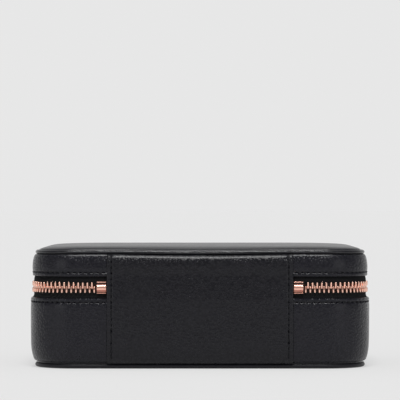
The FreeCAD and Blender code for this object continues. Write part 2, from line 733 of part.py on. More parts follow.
def make_ring_rolls():
    """A row of padded rolls, side by side, with the slots for rings between them."""
    start = f"({INSIDE_IN} + roll_wall_gap - case_width / 2)"
    for step in range(ROLL_COUNT):
        roll = new_body(f"ring_roll_{step + 1}")
        place = f"({step} - {(ROLL_COUNT - 1) / 2}) * ({ROLL_WIDTH} + roll_gap)"
        sections = []
        for share, pinch in (("0", "roll_pinch"), ("0.5", "0"), ("1", "roll_pinch")):
            sketch = sketch_on(roll, "YZ_Plane", f"{start} + {share} * {ROLL_LENGTH}")
            trace(sketch, roll_section(f"({place})", pinch))
            sections.append(sketch)
        feature(roll, "AdditiveLoft", Profile=sections[0], Sections=sections[1:])


make_shell()
make_lid_shell()
make_hinge()
make_zip()
for hand, way in (("left", "-1"), ("right", "1")):
    make_slider(f"slider_{hand}", way)
    make_pull(f"pull_{hand}", way)
make_mirror()
make_dividers()
make_ring_rolls()
doc.recompute()

for item in doc.Objects:
    if {"Invalid", "Error"} & set(item.State):
        raise RuntimeError(f"{item.Label} failed to build")
for sub_part in sub_parts:
    if sub_part.Shape.isNull() or not sub_part.Shape.isValid():
        raise RuntimeError(f"{sub_part.Label} has no valid shape")

os.makedirs("parts", exist_ok=True)
for sub_part in sub_parts:
    sub_part.Shape.exportStep(f"parts/{sub_part.Label}.step")
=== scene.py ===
import math
import bmesh
import bpy
from mathutils import Matrix, Vector


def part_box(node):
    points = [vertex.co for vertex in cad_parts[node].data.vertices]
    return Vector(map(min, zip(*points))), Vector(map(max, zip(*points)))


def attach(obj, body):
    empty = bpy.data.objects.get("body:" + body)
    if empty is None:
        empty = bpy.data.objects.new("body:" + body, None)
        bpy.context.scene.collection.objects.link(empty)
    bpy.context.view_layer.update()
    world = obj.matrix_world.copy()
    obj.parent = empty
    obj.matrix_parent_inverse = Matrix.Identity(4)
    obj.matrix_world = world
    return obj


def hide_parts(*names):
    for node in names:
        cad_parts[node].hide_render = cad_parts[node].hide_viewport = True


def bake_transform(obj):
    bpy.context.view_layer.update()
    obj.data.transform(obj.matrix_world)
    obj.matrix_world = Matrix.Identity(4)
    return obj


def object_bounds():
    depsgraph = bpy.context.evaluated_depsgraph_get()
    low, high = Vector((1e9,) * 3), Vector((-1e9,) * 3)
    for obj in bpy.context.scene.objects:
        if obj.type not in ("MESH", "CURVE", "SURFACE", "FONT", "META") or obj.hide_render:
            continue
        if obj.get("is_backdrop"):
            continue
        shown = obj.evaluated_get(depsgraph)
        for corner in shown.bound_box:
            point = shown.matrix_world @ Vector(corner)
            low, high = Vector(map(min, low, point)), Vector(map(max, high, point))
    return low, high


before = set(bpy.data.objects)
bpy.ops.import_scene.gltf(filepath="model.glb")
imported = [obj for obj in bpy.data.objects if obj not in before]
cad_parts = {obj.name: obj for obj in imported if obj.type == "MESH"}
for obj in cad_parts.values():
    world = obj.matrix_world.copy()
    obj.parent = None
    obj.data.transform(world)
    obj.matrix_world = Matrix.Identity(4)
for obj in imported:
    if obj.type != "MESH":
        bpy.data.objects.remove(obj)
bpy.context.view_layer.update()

# Zip-around leather jewellery case. The lengths below are in millimetres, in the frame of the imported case:
# +Z up, the hinge at the back (+Y), the zip's sliders at the front (-Y).
MM = 0.001
MERGE = 0.002 * MM                                 # vertices closer than this become one
CORNER_X, CORNER_Y, CORNER_RADIUS = 70, 40, 25     # centres and radius of the case's four corners
BACK = CORNER_Y + CORNER_RADIUS                    # the base's side leather at the back
PIPING_IN = 3.65                                   # middle of both piping cords, in from the side leather
COVER_IN, BOTTOM_IN, LINING_IN = 4.75, 3.4, 7.1    # edges of the lid's cover, the bottom and the flat linings
BAND_END = 43.3                                    # where the side bands end under the hinge panel
BASE_TAPE_END, LID_TAPE_END = 47.3, 57.7           # the base's tape ends under the panel, the lid's at a stop

ZIP_HEIGHT = 45
CHAIN_IN = 2.025                                   # middle plane of the zip chain, in from the side leather
TOOTH_PITCH = 2.54
STOP_LENGTH, STOP_MIDDLE = 5.2, 54.5               # along X
CHAIN_GAP, HALF_TOOTH = 0.6, 0.475                 # clearance beside a stop, half the CAD tooth's width
BAIL_X, BAIL_Y = 6.25, -67.975                     # where the pulls turn on their sliders

STITCH_PITCH = 3.2
BASE_ROW, LID_ROW = 36.8, 53.2                     # heights of the stitched rows along the zip
ROW_END_GAP = 1.2                                  # the rows stop short of the panel by this
PANEL_HALF = 51.65
PANEL_SEAM = 49.05                                 # the panel's stitch lines, out from its middle
FIRST_PANEL_STITCH, PANEL_STITCHES = 6.4, 18
LAST_PANEL_HOLE = 61
FOLD_START, FOLD_END = 39, 51                      # heights between which the hinge panel folds


# Modelling by hand


def begin(name):
    """A new piece in edit mode: one loose vertex at the origin, ready to be drawn out."""
    bpy.ops.object.select_all(action="DESELECT")
    bpy.ops.mesh.primitive_plane_add(size=MM)
    piece = bpy.context.object
    piece.name = piece.data.name = name
    bpy.ops.object.mode_set(mode="EDIT")
    bpy.ops.mesh.select_mode(type="VERT")
    bpy.ops.mesh.select_all(action="SELECT")
    bpy.ops.mesh.merge(type="CENTER")
    return piece


def draw(points, closed=False):
    """Draws the loose vertex out through the points, and leaves the whole line selected."""
    bpy.ops.transform.translate(value=Vector(points[0]) * MM)
    for here, there in zip(points, points[1:]):
        step = (Vector(there) - Vector(here)) * MM
        bpy.ops.mesh.extrude_vertices_move(TRANSFORM_OT_translate={"value": step})
    bpy.ops.mesh.select_all(action="SELECT")
    if closed:
        mesh = bmesh.from_edit_mesh(bpy.context.object.data)
        for vertex in mesh.verts:
            vertex.select = len(vertex.link_edges) == 1
        mesh.select_flush_mode()
        bpy.ops.mesh.edge_face_add()
        bpy.ops.mesh.select_all(action="SELECT")


def extrude(*step):
    """Draws the selected part out by a step along X, Y and Z."""
    bpy.ops.mesh.extrude_region_move(TRANSFORM_OT_translate={"value": Vector(step) * MM})


def choose(test, mode="VERT"):
    """Selects the vertices or edges of the piece in hand whose middle passes the test, in millimetres."""
    bpy.ops.mesh.select_mode(type=mode)
    bpy.ops.mesh.select_all(action="DESELECT")
    mesh = bmesh.from_edit_mesh(bpy.context.object.data)
    for part in mesh.verts if mode == "VERT" else mesh.edges:
        middle = part.co if mode == "VERT" else sum((end.co for end in part.verts), Vector()) / 2
        if test(middle / MM):
            part.select_set(True)
    mesh.select_flush_mode()
    bmesh.update_edit_mesh(bpy.context.object.data)


def carry_round(end, stride=5.0, corner_steps=10):
    """Carries the selected section from the back, round the case, to the other side of the hinge."""
    turns = [(CORNER_X, CORNER_Y), (CORNER_X, -CORNER_Y), (-CORNER_X, -CORNER_Y), (-CORNER_X, CORNER_Y)]
    runs = [
        (CORNER_X - end, 0), (0, -2 * CORNER_Y), (-2 * CORNER_X, 0), (0, 2 * CORNER_Y), (CORNER_X - end, 0),
    ]
    for number, (along_x, along_y) in enumerate(runs):
        count = max(1, round((abs(along_x) + abs(along_y)) / stride))
        bpy.ops.mesh.extrude_repeat(steps=count, offset=Vector((along_x, along_y, 0)) / count * MM)
        if number < len(turns):
            centre = Vector((*turns[number], 0)) * MM
            bpy.ops.mesh.spin(steps=corner_steps, angle=math.radians(90), center=centre, axis=(0, 0, 1))


def close_up(fill=True):
    """Merges what meets, fills open ends and turns the faces outwards."""
    bpy.ops.mesh.select_mode(type="VERT")
    bpy.ops.mesh.select_all(action="SELECT")
    bpy.ops.mesh.remove_doubles(threshold=MERGE)
    if fill:
        bpy.ops.mesh.fill_holes(sides=0)
    bpy.ops.mesh.select_all(action="SELECT")
    bpy.ops.mesh.normals_make_consistent(inside=False)


def apply_modifier(piece, kind, **settings):
    """Adds a modifier with its settings and makes its result the piece's mesh."""
    modifier = piece.modifiers.new(kind.lower(), kind)
    for name, setting in settings.items():
        setattr(modifier, name, setting)
    bpy.ops.object.modifier_apply(modifier=modifier.name)


def leave(piece, material, angle=40):
    """Out of edit mode, shaded, with its material."""
    bpy.ops.object.mode_set(mode="OBJECT")
    bpy.ops.object.shade_smooth_by_angle(angle=math.radians(angle))
    piece.data.materials.clear()
    piece.data.materials.append(material)
    return piece


def settle(piece, body, slot, *nodes):
    """The finished piece rides on its body and stands for its nodes."""
    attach(piece, body)
    if nodes:
        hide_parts(*nodes)
    return piece


def ripple(piece, height, size):
    """Gives a leather or cloth face its slight unevenness."""
    cloud = bpy.data.textures.new("unevenness", "CLOUDS")
    cloud.noise_scale = size * MM
    apply_modifier(piece, "DISPLACE", texture=cloud, texture_coords="LOCAL", strength=height * MM,
                   mid_level=0.5)


def sag(piece):
    """Lets the lid's back edge dip over the panel, as soft leather does, and lift a little beside it."""
    crest, level, wave, lift, fade = 60, -0.05, 0.3, 0.25, 30
    back_from, back_over, top_from, top_over = 45, 15, 58, 4
    for vertex in piece.data.vertices:
        across, along, height = abs(vertex.co.x) / MM, vertex.co.y / MM, vertex.co.z / MM
        near_back = min(max((along - back_from) / back_over, 0), 1)
        near_top = min(max((height - top_from) / top_over, 0), 1)
        if across < crest:
            shift = level - wave * math.cos(math.pi * across / crest)
        else:
            shift = lift * max(1 - (across - crest) / fade, 0)
        vertex.co.z += shift * near_back * near_top * MM


# Finishes


def finish_nodes(name):
    """A new material, with what is needed to wire it up and its Object coordinates."""
    material = bpy.data.materials.new(name)
    material.use_nodes = True
    nodes, links = material.node_tree.nodes, material.node_tree.links
    shader = nodes["Principled BSDF"]
    place = nodes.new("ShaderNodeTexCoord").outputs["Object"]
    return material, nodes, links, shader, place


def texture(nodes, links, kind, place, **inputs):
    """A texture node at a place, with its inputs set."""
    node = nodes.new(f"ShaderNodeTex{kind}")
    links.new(place, node.inputs["Vector"])
    for name, value in inputs.items():
        node.inputs[name.replace("_", " ")].default_value = value
    return node


def shade_between(nodes, links, factor, target, dark, light, low=0.3, high=0.7):
    """A colour or a roughness that goes from dark to light as the factor goes from low to high."""
    ramp = nodes.new("ShaderNodeValToRGB")
    ramp.color_ramp.elements[0].position, ramp.color_ramp.elements[1].position = low, high
    for element, tone in zip(ramp.color_ramp.elements, (dark, light)):
        element.color = (*tone, 1) if isinstance(tone, tuple) else (tone, tone, tone, 1)
    links.new(factor, ramp.inputs["Fac"])
    links.new(ramp.outputs["Color"], target)
    return ramp


def add_bump(nodes, links, shader, height, strength, depth, under=None):
    """Fine relief of a depth in millimetres, over another relief where one is given."""
    bump = nodes.new("ShaderNodeBump")
    bump.inputs["Strength"].default_value = strength
    bump.inputs["Distance"].default_value = depth * MM
    links.new(height, bump.inputs["Height"])
    if under is not None:
        links.new(under.outputs["Normal"], bump.inputs["Normal"])
    links.new(bump.outputs["Normal"], shader.inputs["Normal"])
    return bump


def make_leather(name, grain, depth, dark, light, smooth, rough, gloss, polish=0.0):
    """Pebbled leather: pebbles a grain across with finer creases, smoother worn spots and a thin polish."""
    material, nodes, links, shader, place = finish_nodes(name)
    wander = texture(nodes, links, "Noise", place, Scale=0.35 / (grain * MM), Detail=2.0)
    bent = nodes.new("ShaderNodeVectorMath")
    bent.operation = "MULTIPLY_ADD"
    links.new(wander.outputs["Color"], bent.inputs[0])
    bent.inputs[1].default_value = (0.7 * grain * MM,) * 3
    links.new(place, bent.inputs[2])
    pebbles = texture(nodes, links, "Voronoi", bent.outputs["Vector"],
                      Scale=1 / (grain * MM), Randomness=0.95)
    pebbles.feature = "SMOOTH_F1"
    pebbles.inputs["Smoothness"].default_value = 0.35
    creases = texture(nodes, links, "Noise", place, Scale=2.6 / (grain * MM), Detail=3.0, Roughness=0.6)
    worn = texture(nodes, links, "Noise", place, Scale=45.0, Detail=3.0)
    turned = nodes.new("ShaderNodeMath")
    turned.operation = "SUBTRACT"
    turned.inputs[0].default_value = 1.0
    links.new(pebbles.outputs["Distance"], turned.inputs[1])
    first = add_bump(nodes, links, shader, creases.outputs["Fac"], 0.35, depth * 0.4)
    add_bump(nodes, links, shader, turned.outputs["Value"], 0.85, depth, under=first)
    shade_between(nodes, links, pebbles.outputs["Distance"], shader.inputs["Base Color"], light, dark,
                  0.15, 0.75)
    shade_between(nodes, links, worn.outputs["Fac"], shader.inputs["Roughness"], smooth, rough)
    shader.inputs["Specular IOR Level"].default_value = gloss
    shader.inputs["Coat Weight"].default_value = polish
    shader.inputs["Coat Roughness"].default_value = 0.2
    return material


def make_suede(name, dark, light, nap):
    """Brushed suede: soft patches where the nap lies one way or the other, over a fine fibre."""
    material, nodes, links, shader, place = finish_nodes(name)
    patches = texture(nodes, links, "Noise", place, Scale=90.0, Detail=4.0, Roughness=0.65)
    fibre = texture(nodes, links, "Noise", place, Scale=2600.0, Detail=2.0, Roughness=0.7)
    shade_between(nodes, links, patches.outputs["Fac"], shader.inputs["Base Color"], dark, light)
    add_bump(nodes, links, shader, fibre.outputs["Fac"], 0.5, nap)
    shader.inputs["Roughness"].default_value = 0.92
    shader.inputs["Sheen Weight"].default_value = 0.35
    shader.inputs["Sheen Roughness"].default_value = 0.45
    shader.inputs["Specular IOR Level"].default_value = 0.15
    return material


def make_weave(name, dark, light, rib):
    """Woven tape: a twill rib on the slant, crossed by the weft."""
    material, nodes, links, shader, place = finish_nodes(name)
    twill = texture(nodes, links, "Wave", place, Scale=0.35 / (rib * MM), Distortion=0.6, Detail=1.0)
    twill.bands_direction = "DIAGONAL"
    weft = texture(nodes, links, "Wave", place, Scale=0.3 / (rib * MM), Distortion=0.2)
    weft.bands_direction = "Z"
    woven = nodes.new("ShaderNodeMath")
    woven.operation = "MULTIPLY"
    links.new(twill.outputs["Fac"], woven.inputs[0])
    links.new(weft.outputs["Fac"], woven.inputs[1])
    shade_between(nodes, links, woven.outputs["Value"], shader.inputs["Base Color"], dark, light, 0.1, 0.8)
    add_bump(nodes, links, shader, woven.outputs["Value"], 0.6, 0.12)
    shader.inputs["Roughness"].default_value = 0.85
    shader.inputs["Specular IOR Level"].default_value = 0.15
    return material


def make_metal(name, tone, tarnish, smooth, rough):
    """Polished plated metal with faint handling marks."""
    material, nodes, links, shader, place = finish_nodes(name)
    marks = texture(nodes, links, "Noise", place, Scale=1800.0, Detail=4.0, Roughness=0.6)
    shade_between(nodes, links, marks.outputs["Fac"], shader.inputs["Base Color"], tarnish, tone, 0.25, 0.55)
    shade_between(nodes, links, marks.outputs["Fac"], shader.inputs["Roughness"], rough, smooth)
    shader.inputs["Metallic"].default_value = 1.0
    return material


def make_plain(name, dark, light, grain, rough):
    """Board that mostly stays out of sight: a speckle at its own grain."""
    material, nodes, links, shader, place = finish_nodes(name)
    speckle = texture(nodes, links, "Noise", place, Scale=1 / (grain * MM), Detail=4.0)
    shade_between(nodes, links, speckle.outputs["Fac"], shader.inputs["Base Color"], dark, light)
    add_bump(nodes, links, shader, speckle.outputs["Fac"], 0.3, 0.1)
    shader.inputs["Roughness"].default_value = rough
    return material


leather = make_leather("black_pebbled_leather", 1.2, 0.42, (0.0034, 0.0032, 0.007), (0.0105, 0.0101, 0.0152),
                       smooth=0.2, rough=0.31, gloss=0.19, polish=0.24)
cover_leather = make_leather("black_cover_leather", 1.2, 0.17, (0.0034, 0.0032, 0.007),
                             (0.0105, 0.0101, 0.0152), smooth=0.36, rough=0.42, gloss=0.16, polish=0.4)
panel_leather = make_leather("black_panel_leather", 1.2, 0.45, (0.0032, 0.003, 0.0056),
                             (0.0098, 0.0095, 0.0132), smooth=0.2, rough=0.31, gloss=0.18, polish=0.24)
cord_leather = make_leather("black_piping_leather", 0.8, 0.1, (0.004, 0.0037, 0.0066),
                            (0.010, 0.0097, 0.0135), smooth=0.15, rough=0.22, gloss=0.45)
foot_leather = make_leather("black_foot_leather", 0.8, 0.05, (0.004, 0.0037, 0.0066),
                            (0.010, 0.0097, 0.0135), smooth=0.38, rough=0.46, gloss=0.3)
suede = make_suede("taupe_suede", (0.10, 0.078, 0.07), (0.185, 0.15, 0.138), nap=0.12)
tape_cloth = make_weave("black_zip_tape", (0.0025, 0.0025, 0.003), (0.016, 0.016, 0.0175), rib=0.7)
thread = make_weave("black_thread", (0.014, 0.014, 0.016), (0.042, 0.042, 0.046), rib=0.35)
rose_gold = make_metal("polished_rose_gold", (0.98, 0.62, 0.5), (0.86, 0.5, 0.39), smooth=0.09, rough=0.16)
# The stops' rose gold is deeper and redder than the teeth's. That extra depth is painted shade, for the warm
# light that bounces between the stops' grooves.
stop_gold_painted_shade = make_metal("stop_rose_gold_painted_shade", (0.98, 0.54, 0.43), (0.86, 0.44, 0.33), smooth=0.12, rough=0.2)
board = make_plain("grey_board", (0.09, 0.085, 0.075), (0.13, 0.12, 0.11), grain=1.5, rough=0.9)
silvering = make_metal("mirror_silver", (0.88, 0.89, 0.9), (0.86, 0.87, 0.88), smooth=0.01, rough=0.03)


# Bands of leather, piping, tapes and linings that run round the case. Their profiles are closed lines of
# distances out from the side leather and heights.


def section_at_back(end, profile):
    """A profile stood up at the back, at a distance across from the middle of the hinge."""
    return [(end, BACK + out, height) for out, height in profile]


BASE_BAND = [
    (-1.2, 36.2), (-1.2, 38.3), (-1.02, 38.8), (-0.6, 39.0), (-0.18, 38.82), (0.02, 38.35), (0.06, 37.8),
    (-0.04, 37.25), (-0.18, 36.95), (-0.29, 36.8), (-0.18, 36.6), (-0.02, 36.2), (0.1, 35.4), (0.15, 33.0),
    (0.15, 28.0), (0.12, 22.0), (0.05, 17.0), (0.0, 14.25), (-0.14, 11.25), (-0.37, 9.25), (-0.74, 7.25),
    (-1.22, 5.55), (-1.62, 4.5), (-2.02, 3.93), (-2.45, 3.63), (-2.92, 3.66), (-3.25, 4.0), (-3.1, 5.1),
    (-2.5, 7.0), (-1.8, 10.0), (-1.35, 14.25), (-1.2, 20.0), (-1.2, 30.0),
]
LID_BAND = [
    (-2.15, 53.8), (-2.15, 51.7), (-1.97, 51.2), (-1.55, 51.0), (-1.13, 51.18), (-0.93, 51.65),
    (-0.89, 52.2), (-0.99, 52.75), (-1.13, 53.05), (-1.24, 53.2), (-1.13, 53.4), (-0.97, 53.8),
    (-0.85, 54.6), (-0.82, 55.8), (-0.88, 57.15), (-1.02, 58.65), (-1.26, 60.15), (-1.54, 61.3),
    (-1.82, 62.1), (-2.15, 62.7), (-2.55, 63.08), (-3.0, 63.1), (-3.35, 62.75), (-3.3, 61.8), (-2.7, 60.2),
    (-2.25, 57.5),
]
BASE_TAPE = [(-1.25, 34.5), (-1.25, 39.0), (-1.55, 40.0), (-1.725, 40.6), (-1.725, 42.4), (-2.025, 42.65),
             (-2.325, 42.4), (-2.325, 40.6), (-2.15, 40.0), (-1.85, 39.0), (-1.85, 34.5)]
LID_TAPE = [(-2.2, 55.5), (-2.2, 51.0), (-1.9, 50.0), (-1.725, 49.4), (-1.725, 47.6), (-2.025, 47.35),
            (-2.325, 47.6), (-2.325, 49.4), (-2.5, 50.0), (-2.8, 51.0), (-2.8, 55.5)]
BASE_LINING = [(-7.8, 4.85), (-7.8, 43.9), (-7.66, 44.45), (-7.2, 44.75), (-6.4, 44.8), (-5.6, 44.78),
               (-4.9, 44.55), (-4.6, 44.0), (-4.55, 41.4), (-4.35, 40.75), (-3.8, 40.45), (-2.45, 40.2),
               (-2.45, 39.5), (-4.9, 39.5), (-4.98, 44.05), (-7.0, 44.05), (-7.0, 4.85)]
LID_LINING = [(-7.8, 61.55), (-7.8, 46.1), (-7.66, 45.55), (-7.2, 45.25), (-6.4, 45.2), (-5.6, 45.22),
              (-4.9, 45.45), (-4.6, 46.0), (-4.55, 48.6), (-4.35, 49.25), (-3.9, 49.6), (-2.95, 49.9),
              (-2.95, 50.5), (-4.9, 50.5), (-4.98, 45.95), (-7.0, 45.95), (-7.0, 61.55)]
SEAM_TURNING = [(-3.4, 0.8), (-3.4, 4.4), (-3.7, 4.6), (-4.0, 4.4), (-4.0, 0.8)]


def make_band(name, profile, end, material, unevenness=0.0, **steps):
    """A profile carried round the case, closed at both ends or, where end is 0, into a ring."""
    piece = begin(name)
    draw(section_at_back(end, profile), closed=True)
    carry_round(end, **steps)
    close_up(fill=end > 0)
    leave(piece, material)
    if unevenness:
        ripple(piece, height=unevenness, size=9)
    return piece


def pull_stitches(piece, row):
    """Draws the leather in where each needle hole is, along a stitched row at a height."""
    bpy.context.view_layer.objects.active = piece
    bpy.ops.object.mode_set(mode="EDIT")
    near_row, hole_depth = 0.25, 0.36
    choose(lambda place: abs(place.z - row) < near_row and between_stitches(travel_at(place)))
    bpy.ops.transform.shrink_fatten(value=-hole_depth * MM)
    bpy.ops.object.mode_set(mode="OBJECT")


def between_stitches(travel):
    """Whether a place at this distance along a row lies near a needle hole."""
    near_hole = 0.26                               # share of a stitch
    return abs((travel / STITCH_PITCH) % 1 - 0.5) < near_hole


def travel_at(place):
    """Distance round the case, from the middle of the front, at its side leather."""
    across, along = abs(place.x), place.y
    corner = math.pi / 2 * CORNER_RADIUS
    if across <= CORNER_X:
        return across if along < 0 else 2 * (CORNER_X + corner + CORNER_Y) - across
    if abs(along) <= CORNER_Y:
        return CORNER_X + corner + along + CORNER_Y
    if along < 0:
        return CORNER_X + CORNER_RADIUS * math.atan2(across - CORNER_X, -along - CORNER_Y)
    turn = math.atan2(along - CORNER_Y, across - CORNER_X)
    return CORNER_X + corner + 2 * CORNER_Y + CORNER_RADIUS * turn


base_band = make_band("base_side_band", BASE_BAND, BAND_END, leather, unevenness=0.16,
                      stride=0.8, corner_steps=48)
pull_stitches(base_band, BASE_ROW)
settle(base_band, "base", "leather", "base_side_leather", "base_wall_padding")
lid_band = make_band("lid_side_band", LID_BAND, BAND_END, leather, unevenness=0.16,
                     stride=0.8, corner_steps=48)
pull_stitches(lid_band, LID_ROW)
sag(lid_band)
settle(lid_band, "lid", "leather", "lid_side_leather", "lid_wall_padding")
settle(make_band("base_seam_turning", SEAM_TURNING, 0, leather), "base", "leather")
settle(make_band("base_tape", BASE_TAPE, BASE_TAPE_END, tape_cloth), "base", "zip_tape", "base_zip_tape")
settle(make_band("lid_tape", LID_TAPE, LID_TAPE_END, tape_cloth), "lid", "zip_tape", "lid_zip_tape")
base_suede = make_band("base_wall_suede", BASE_LINING, 0, suede, unevenness=0.12)
settle(base_suede, "base", "suede", "base_wall_lining")
lid_suede = make_band("lid_wall_suede", LID_LINING, 0, suede, unevenness=0.12)
settle(lid_suede, "lid", "suede", "lid_wall_lining")


def make_piping(name, height, radius, material):
    """A leather-covered cord round a seam."""
    bpy.ops.object.select_all(action="DESELECT")
    bpy.ops.mesh.primitive_circle_add(vertices=14, radius=radius * MM, rotation=(0, math.radians(90), 0),
                                      location=Vector((0, BACK - PIPING_IN, height)) * MM)
    piece = bpy.context.object
    piece.name = piece.data.name = name
    bpy.ops.object.transform_apply(location=True, rotation=True, scale=True)
    bpy.ops.object.mode_set(mode="EDIT")
    bpy.ops.mesh.select_all(action="SELECT")
    carry_round(0, stride=2.0, corner_steps=18)
    close_up(fill=False)
    leave(piece, material)
    ripple(piece, height=0.14, size=5)
    sag(piece)
    return piece


base_piping = make_piping("base_seam_piping", height=1.45, radius=1.3, material=foot_leather)
settle(base_piping, "base", "piping_leather", "base_piping")
lid_piping = make_piping("lid_seam_piping", height=64.4, radius=1.15, material=cord_leather)
settle(lid_piping, "lid", "piping_leather", "lid_piping")


# Tape ends that the stops hold


def make_tape_end(name, side):
    """The lid tape's end behind a stop, from under the panel to where the tape itself starts."""
    piece = begin(name)
    start, length, steps, thickness = 46.5, 11.1, 4, 0.55
    outer = [(-1.725, 46.9), (-1.725, 48.4), (-1.725, 49.4), (-1.9, 50.0), (-2.2, 51.0), (-2.2, 52.0),
             (-2.2, 53.5)]
    inner = [(out - thickness, height) for out, height in reversed(outer)]
    draw([(side * start, BACK + out, height) for out, height in outer + inner], closed=True)
    for _ in range(steps):
        extrude(side * length / steps, 0, 0)
    close_up()
    leave(piece, tape_cloth)
    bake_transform(piece)


make_tape_end("tape_end_right", 1)
make_tape_end("tape_end_left", -1)


# Padded lid, bottom and the flat linings


def case_loop(inset, height, corner_steps=14):
    """Draws the case's outline, moved in, as a closed loop at a height."""
    bpy.ops.transform.translate(value=Vector((0, BACK - inset, height)) * MM)
    carry_round(0, stride=8.0, corner_steps=corner_steps)
    bpy.ops.mesh.select_all(action="SELECT")
    bpy.ops.mesh.remove_doubles(threshold=MERGE)


def make_pad(name, inset, profile, material, **steps):
    """A sheet with the case's outline: rings that step in from its hidden edge to the middle of its face."""
    half_x, half_y = CORNER_X + CORNER_RADIUS - inset, BACK - inset
    piece = begin(name)
    case_loop(inset, profile[0][1], **steps)
    bpy.ops.mesh.edge_face_add()
    at_x, at_y, at_z = half_x, half_y, profile[0][1]
    for step_in, height in profile[1:]:
        to_x, to_y = half_x - step_in, half_y - step_in
        extrude(0, 0, height - at_z)
        bpy.ops.transform.resize(value=(to_x / at_x, to_y / at_y, 1), center_override=(0, 0, height * MM))
        at_x, at_y, at_z = to_x, to_y, height
    close_up()
    return leave(piece, material, angle=50)


# How far each ring steps in, and its height
LID_CROWN = [(0.0, 65.2), (0.0, 65.5), (0.2, 65.85), (0.7, 66.22), (1.5, 66.56), (2.7, 66.88), (4.2, 67.18),
             (6.1, 67.44), (9.0, 67.68), (13.0, 67.88), (19.0, 68.1), (27.0, 68.28), (38.0, 68.41),
             (48.0, 68.47), (58.0, 68.48)]
lid_cover = make_pad("lid_padded_cover", COVER_IN, LID_CROWN, cover_leather)
sag(lid_cover)
settle(lid_cover, "lid", "leather", "lid_top_leather", "lid_top_padding")

BOTTOM = [(0.0, 1.3), (0.0, 0.7), (0.2, 0.3), (0.6, 0.06), (1.4, 0.0), (30.0, 0.0), (55.0, 0.0)]
bottom = make_pad("base_bottom_cover", BOTTOM_IN, BOTTOM, leather)
settle(bottom, "base", "leather", "base_bottom_leather", "base_bottom_padding")

FLOOR = [(0.0, 4.05), (0.0, 4.45), (0.3, 4.72), (0.9, 4.8), (20.0, 4.8), (45.0, 4.8)]
settle(make_pad("base_floor_suede", LINING_IN, FLOOR, suede), "base", "suede", "base_floor_lining")
CEILING = [(0.0, 62.35), (0.0, 61.95), (0.3, 61.68), (0.9, 61.6), (20.0, 61.6), (45.0, 61.6)]
settle(make_pad("lid_ceiling_suede", LINING_IN, CEILING, suede), "lid", "suede", "lid_top_lining")


# Hinge panel over the back

PANEL_FACE = [
    (-2.5, 4.0), (-2.25, 3.5), (-1.85, 3.22), (-1.45, 3.3), (-1.15, 3.75), (-0.5, 5.0), (0.02, 6.35),
    (0.57, 8.25), (0.95, 10.25), (1.18, 12.25), (1.25, 14.25), (1.27, 17.0), (1.27, 20.0), (1.27, 23.0),
    (1.27, 26.0), (1.27, 29.0), (1.27, 32.0), (1.26, 35.0), (1.25, 37.5),
]
PANEL_FOLD = [(1.25 - 0.95 * step / 20, FOLD_START - 0.6 + 0.66 * step) for step in range(21)]
PANEL_TOP = [(0.3, 53.4), (0.32, 55.4), (0.3, 57.15), (0.2, 58.65), (-0.04, 60.15), (-0.36, 61.15),
             (-0.76, 61.9), (-1.2, 62.5), (-1.65, 62.95), (-2.05, 63.18), (-2.4, 63.15), (-2.65, 62.8)]
PANEL_LINE = PANEL_FACE + PANEL_FOLD + PANEL_TOP
# Places across the panel from its edge to its middle, with how far the leather stands out there
PANEL_ACROSS = [(PANEL_HALF, -1.0), (51.59, -0.55), (51.35, -0.22), (50.9, -0.05), (50.25, 0.04),
                (49.65, -0.02), (49.3, -0.18), (PANEL_SEAM, -0.32), (48.8, -0.18), (48.45, -0.04),
                (47.75, 0.03), (46.0, 0.06), (42.0, 0.06), (36.0, 0.06), (30.0, 0.06), (24.0, 0.06),
                (18.0, 0.06), (12.0, 0.06), (6.0, 0.06)]


def finer(line, step):
    """The same line with places added, so that none lie further apart than a step."""
    filled = [line[0]]
    for (out, height), (far, high) in zip(line, line[1:]):
        count = math.ceil(math.hypot(far - out, high - height) / step)
        filled += [(out + (far - out) * part / count, height + (high - height) * part / count)
                   for part in range(1, count + 1)]
    return filled


def make_panel():
    """The panel's face, drawn along one edge and carried across, then given its thickness."""
    piece = begin("hinge_panel_leather")
    hole_depth, thickness = 0.3, 0.9
    line = finer(PANEL_LINE, step=0.8)
    across = PANEL_ACROSS + [(0.0, 0.06)] + [(-place, out) for place, out in reversed(PANEL_ACROSS)]
    at_x, at_out = across[0]
    draw([(at_x, BACK + out + at_out, height) for out, height in line])
    for place, out in across[1:]:
        extrude(place - at_x, out - at_out, 0)
        at_x, at_out = place, out
    close_up(fill=False)
    mesh = bmesh.from_edit_mesh(piece.data)
    low_middle = Vector((0, BACK, 20)) * MM
    middle = min(mesh.faces, key=lambda face: (face.calc_center_median() - low_middle).length)
    if middle.normal.y < 0:
        bpy.ops.mesh.flip_normals()
    choose(lambda place: abs(abs(place.x) - PANEL_SEAM) < 0.3
           and FIRST_PANEL_STITCH < place.z < LAST_PANEL_HOLE
           and between_stitches(place.z - FIRST_PANEL_STITCH))
    bpy.ops.transform.translate(value=(0, -hole_depth * MM, 0))
    leave(piece, panel_leather)
    apply_modifier(piece, "SOLIDIFY", thickness=thickness * MM, offset=-1, use_even_offset=False)
    ripple(piece, height=0.14, size=10)
    sag(piece)
    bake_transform(piece)
    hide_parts("hinge_panel", "lid_hinge_backing")


def make_hinge_lining():
    """The strip behind the fold, between the upper edge of the base and the lower edge of the lid."""
    piece = begin("hinge_fold_lining")
    width, steps, rows, thickness = 86.4, 12, 18, 0.75
    outer = [(-0.02 - 0.95 * row / rows, 39.1 + 11.8 * row / rows) for row in range(rows + 1)]
    inner = [(out - thickness, height) for out, height in reversed(outer)]
    draw([(-width / 2, BACK + out, height) for out, height in outer + inner], closed=True)
    for _ in range(steps):
        extrude(width / steps, 0, 0)
    close_up()
    leave(piece, suede)
    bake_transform(piece)
    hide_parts("hinge_lining")


make_panel()
make_hinge_lining()


# Stitches and teeth: one of each is modelled, then laid along its row


